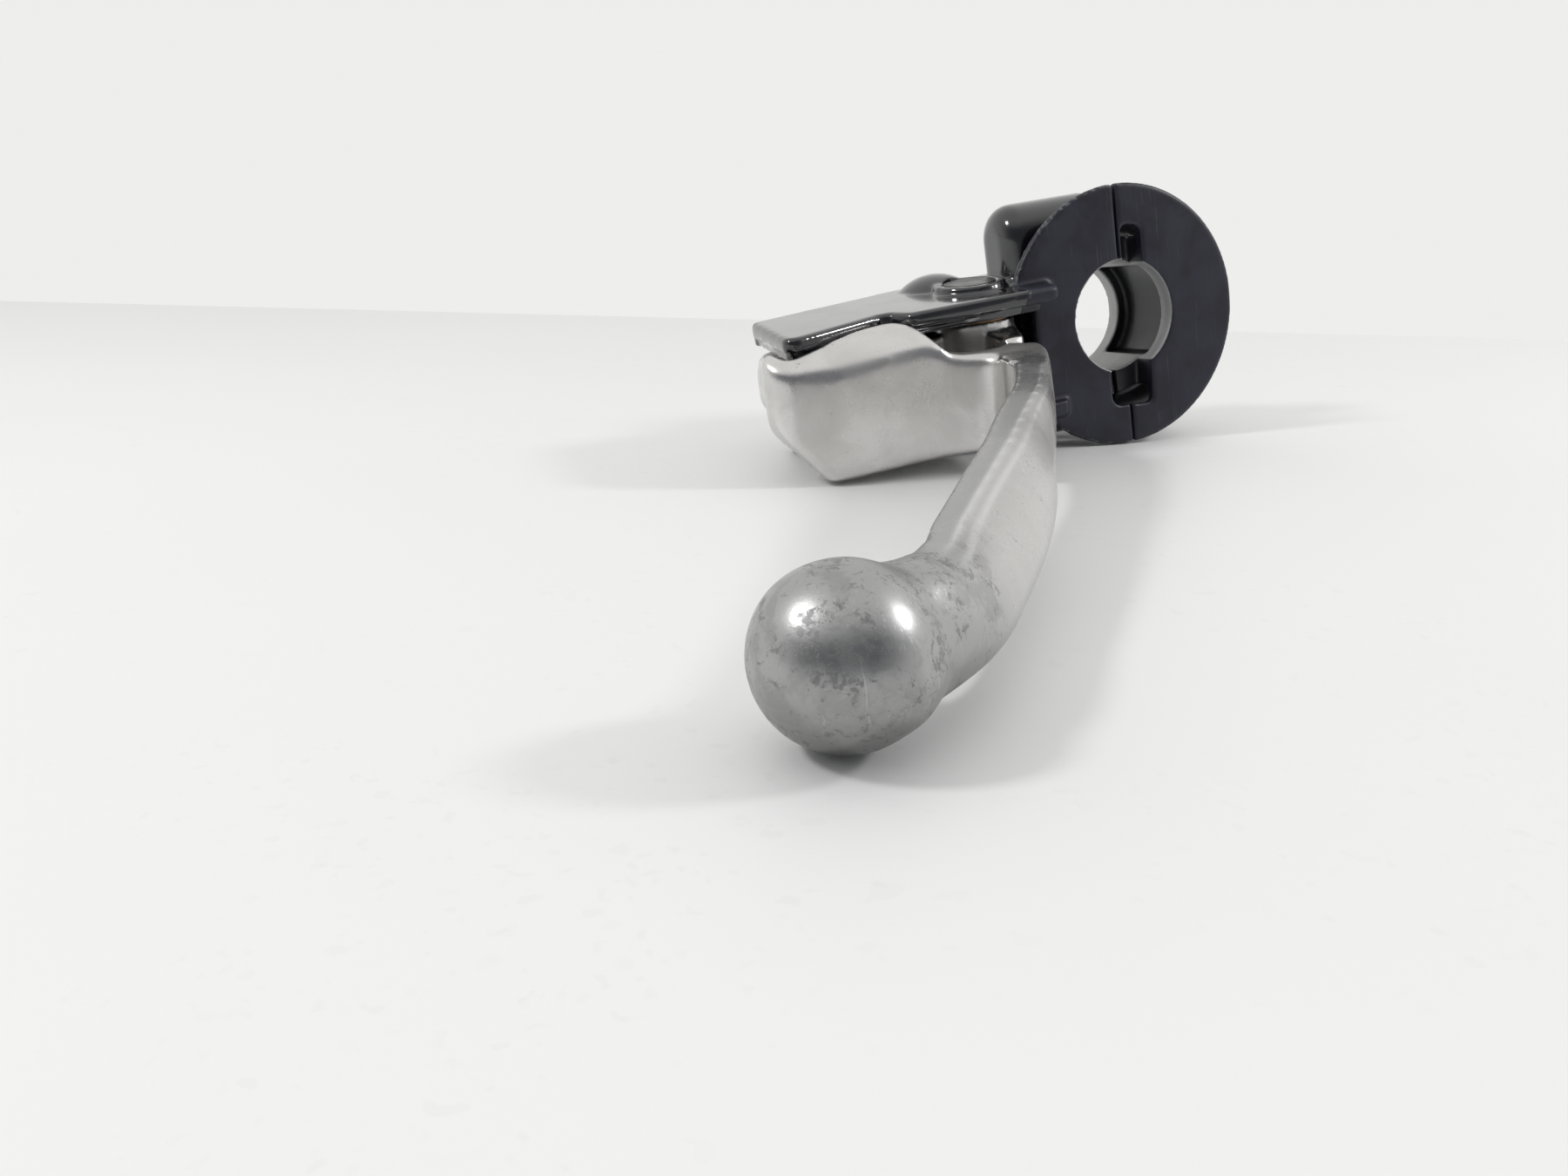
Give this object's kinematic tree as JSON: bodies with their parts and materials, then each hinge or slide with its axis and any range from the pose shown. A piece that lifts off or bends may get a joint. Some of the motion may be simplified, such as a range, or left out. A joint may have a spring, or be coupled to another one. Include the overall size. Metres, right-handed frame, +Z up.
{
  "type": "motorcycle clutch lever assembly",
  "caption": "Ball-ended hand lever pivoting in a cast perch with a split clamp and round flange for a one-inch handlebar, for cable clutch control.",
  "frame": {"origin": "on the handlebar axis, half-way along the clamp's bore", "axes": "+Y inboard along the handlebar, +X rearward to the rider, +Z up; the lever lies forward (-X) and reaches outboard (-Y)"},
  "size_m": [0.1657, 0.174, 0.0592],
  "materials": {
    "black_gloss_paint": "gloss black paint over a zinc or aluminium casting",
    "black_satin_paint": "satin black paint over a casting, with bare machined lands in the bore",
    "black_screw_steel": "black zinc-plated steel",
    "polished_aluminium": "hand-polished aluminium, oxidised and pitted by age",
    "black_pin_steel": "hardened steel with a black coating",
    "spring_steel": "phosphated spring steel",
    "sintered_bronze": "sintered bronze",
    "zinc_steel": "zinc-plated turned steel",
    "white_nylon": "moulded nylon"
  },
  "bodies": {
    "perch": {"bracket": "black_gloss_paint", "clamp_cap": "black_satin_paint", "clamp_screws": "black_screw_steel", "clamp_washers": "black_screw_steel", "pivot_pin": "black_pin_steel", "pivot_clip": "spring_steel", "thrust_washer": "spring_steel"},
    "lever": {"clutch_lever": "polished_aluminium", "pivot_bush_upper": "sintered_bronze", "pivot_bush_lower": "sintered_bronze", "anchor_bush_upper": "white_nylon", "anchor_bush_lower": "white_nylon"},
    "anchor": {"cable_anchor": "zinc_steel"}
  },
  "joints": [
    {"name": "lever_pull", "type": "hinge", "parent": "perch", "child": "lever", "pos_m": [-0.0345, -0.00363, -0.00403], "axis": [0, -0.1045, 0.9945], "range_deg": [0, 30]},
    {"name": "anchor_swivel", "type": "hinge", "parent": "lever", "child": "anchor", "pos_m": [-0.05827, -0.0003, -0.00368], "axis": [0, -0.1045, 0.9945], "range_deg": [-30, 0]}
  ],
  "couplings": [
    {"joint": "anchor_swivel", "follows": "lever_pull", "ratio": -1}
  ]
}
